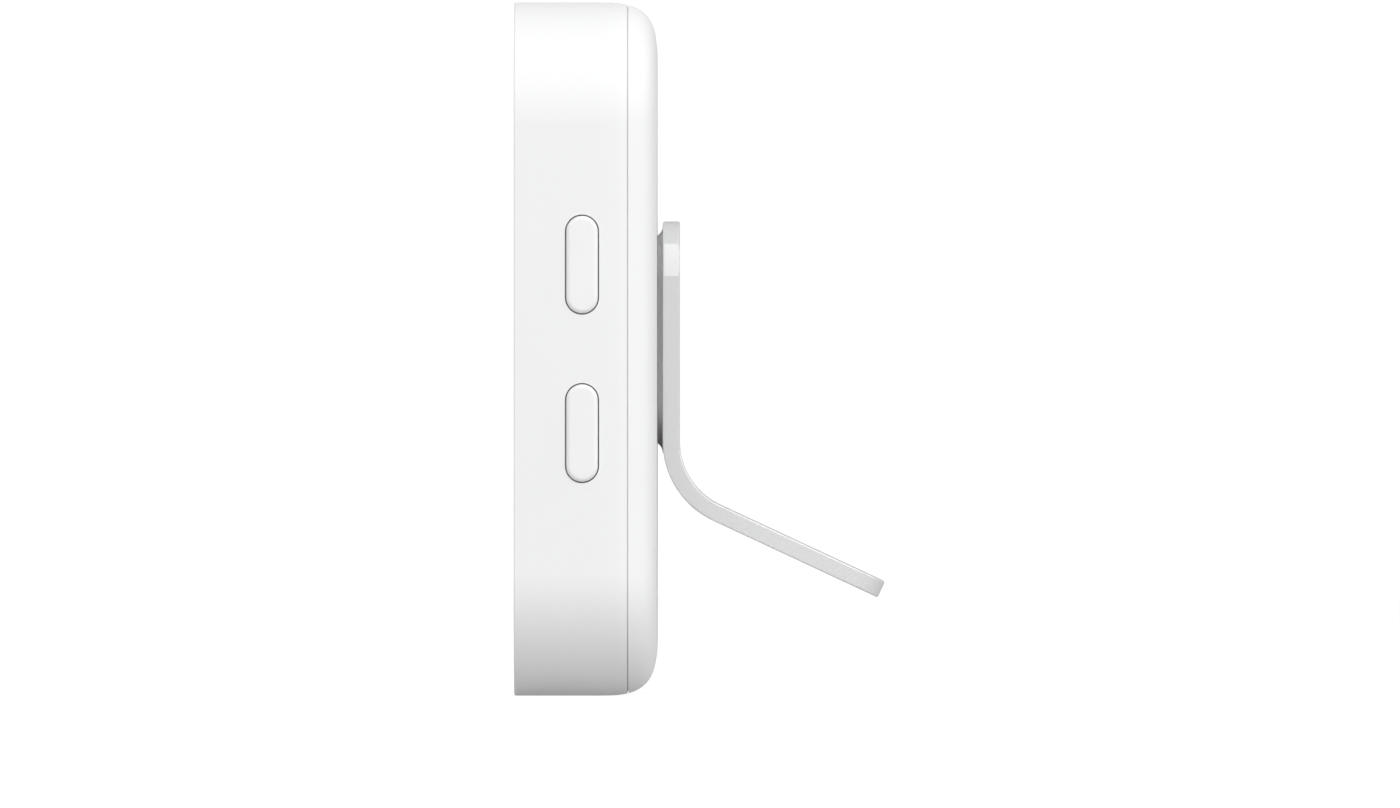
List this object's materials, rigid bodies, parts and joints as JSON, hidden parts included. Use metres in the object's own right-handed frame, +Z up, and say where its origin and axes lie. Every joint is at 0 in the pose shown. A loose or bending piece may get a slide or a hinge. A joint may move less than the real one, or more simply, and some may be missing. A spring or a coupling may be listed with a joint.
{
  "type": "video doorbell",
  "caption": "Slab-shaped video doorbell indoor station with a glass front, a round call button, two side volume keys and a bent desk stand hooked onto its back.",
  "frame": {"origin": "middle of the flat underside of the body, half way between its front and rear faces", "axes": "+X to the side that carries the volume keys, -Y to the glass front, +Y to the stand, +Z up the body as it stands upright"},
  "size_m": [0.1285, 0.0621, 0.116],
  "materials": {
    "white_shell": "fine satin moulded",
    "white_stand": "fine satin moulded",
    "white_key": "fine satin moulded",
    "translucent_white": "frosted, lets light through",
    "grey_rubber": "matt",
    "cover_glass": "polished",
    "black_print": "gloss ink behind glass",
    "black_foam": "closed-cell foam",
    "display_black": "dark display, switched off",
    "pressed_steel": "pressed sheet",
    "screw_steel": "zinc-plated",
    "socket_steel": "drawn shell",
    "amber_film": "polyimide film",
    "black_plastic": "moulded",
    "lens_glass": "coated lens",
    "circuit_board": "solder mask",
    "light_emitter": "clear resin",
    "brass": "knurled",
    "chip_black": "moulded package",
    "ivory_plastic": "moulded",
    "battery_foil": "laminated foil pouch",
    "speaker_paper": "pressed cone",
    "black_cloth": "woven dust cloth"
  },
  "bodies": {
    "body": {"battery_cradle": "black_plastic", "battery_lead": "black_plastic", "battery_pack": "battery_foil", "board_connectors": "ivory_plastic", "board_flexes": "amber_film", "board_screws": "screw_steel", "board_spacers": "brass", "call_board": "circuit_board", "call_light_ring": "translucent_white", "call_switch": "pressed_steel", "camera_barrel": "black_plastic", "camera_board": "circuit_board", "camera_gasket": "black_foam", "camera_lens": "lens_glass", "charging_socket": "socket_steel", "chassis_plate": "pressed_steel", "chassis_screws": "screw_steel", "cover_glass": "cover_glass", "cover_screws": "screw_steel", "display_backlight": "pressed_steel", "display_flex": "amber_film", "display_panel": "display_black", "front_housing": "white_shell", "glass_adhesive": "black_foam", "glass_border_print": "black_print", "key_board": "circuit_board", "key_switches": "pressed_steel", "main_board": "circuit_board", "memory_chips": "chip_black", "microphone": "pressed_steel", "microphone_board": "circuit_board", "microphone_boot": "grey_rubber", "processor": "chip_black", "radio_antenna": "amber_film", "radio_module": "pressed_steel", "rear_cover": "white_shell", "ring_lights": "light_emitter", "screw_inserts": "brass", "shield_can": "pressed_steel", "socket_board": "circuit_board", "socket_tongue": "black_plastic", "speaker_cone": "speaker_paper", "speaker_enclosure": "black_plastic", "speaker_frame": "black_plastic", "speaker_gasket": "black_foam", "speaker_lead": "black_plastic", "speaker_magnet": "pressed_steel", "speaker_mesh": "black_cloth", "thermal_pad": "grey_rubber"},
    "volume_up_key": {"volume_up_button": "white_key", "volume_up_plunger": "black_plastic"},
    "volume_down_key": {"volume_down_button": "white_key", "volume_down_plunger": "black_plastic"},
    "call_key": {"call_button": "white_key", "bell_symbol": "translucent_white", "call_plunger": "black_plastic"},
    "stand": {"stand_bracket": "white_stand", "foot_strip": "grey_rubber"}
  },
  "joints": [
    {"name": "volume_up_press", "type": "slide", "parent": "body", "child": "volume_up_key", "axis": [-1, 0, 0], "range_m": [0, 0.0005], "stiffness_N_per_m": 300, "springref_m": -0.0015},
    {"name": "volume_down_press", "type": "slide", "parent": "body", "child": "volume_down_key", "axis": [-1, 0, 0], "range_m": [0, 0.0005], "stiffness_N_per_m": 300, "springref_m": -0.0015},
    {"name": "call_press", "type": "slide", "parent": "body", "child": "call_key", "axis": [0, 1, 0], "range_m": [0, 0.0006], "stiffness_N_per_m": 300, "springref_m": -0.0015},
    {"name": "stand_slide", "type": "slide", "parent": "body", "child": "stand", "axis": [0, 0, -1], "range_m": [0, 0.006]}
  ]
}
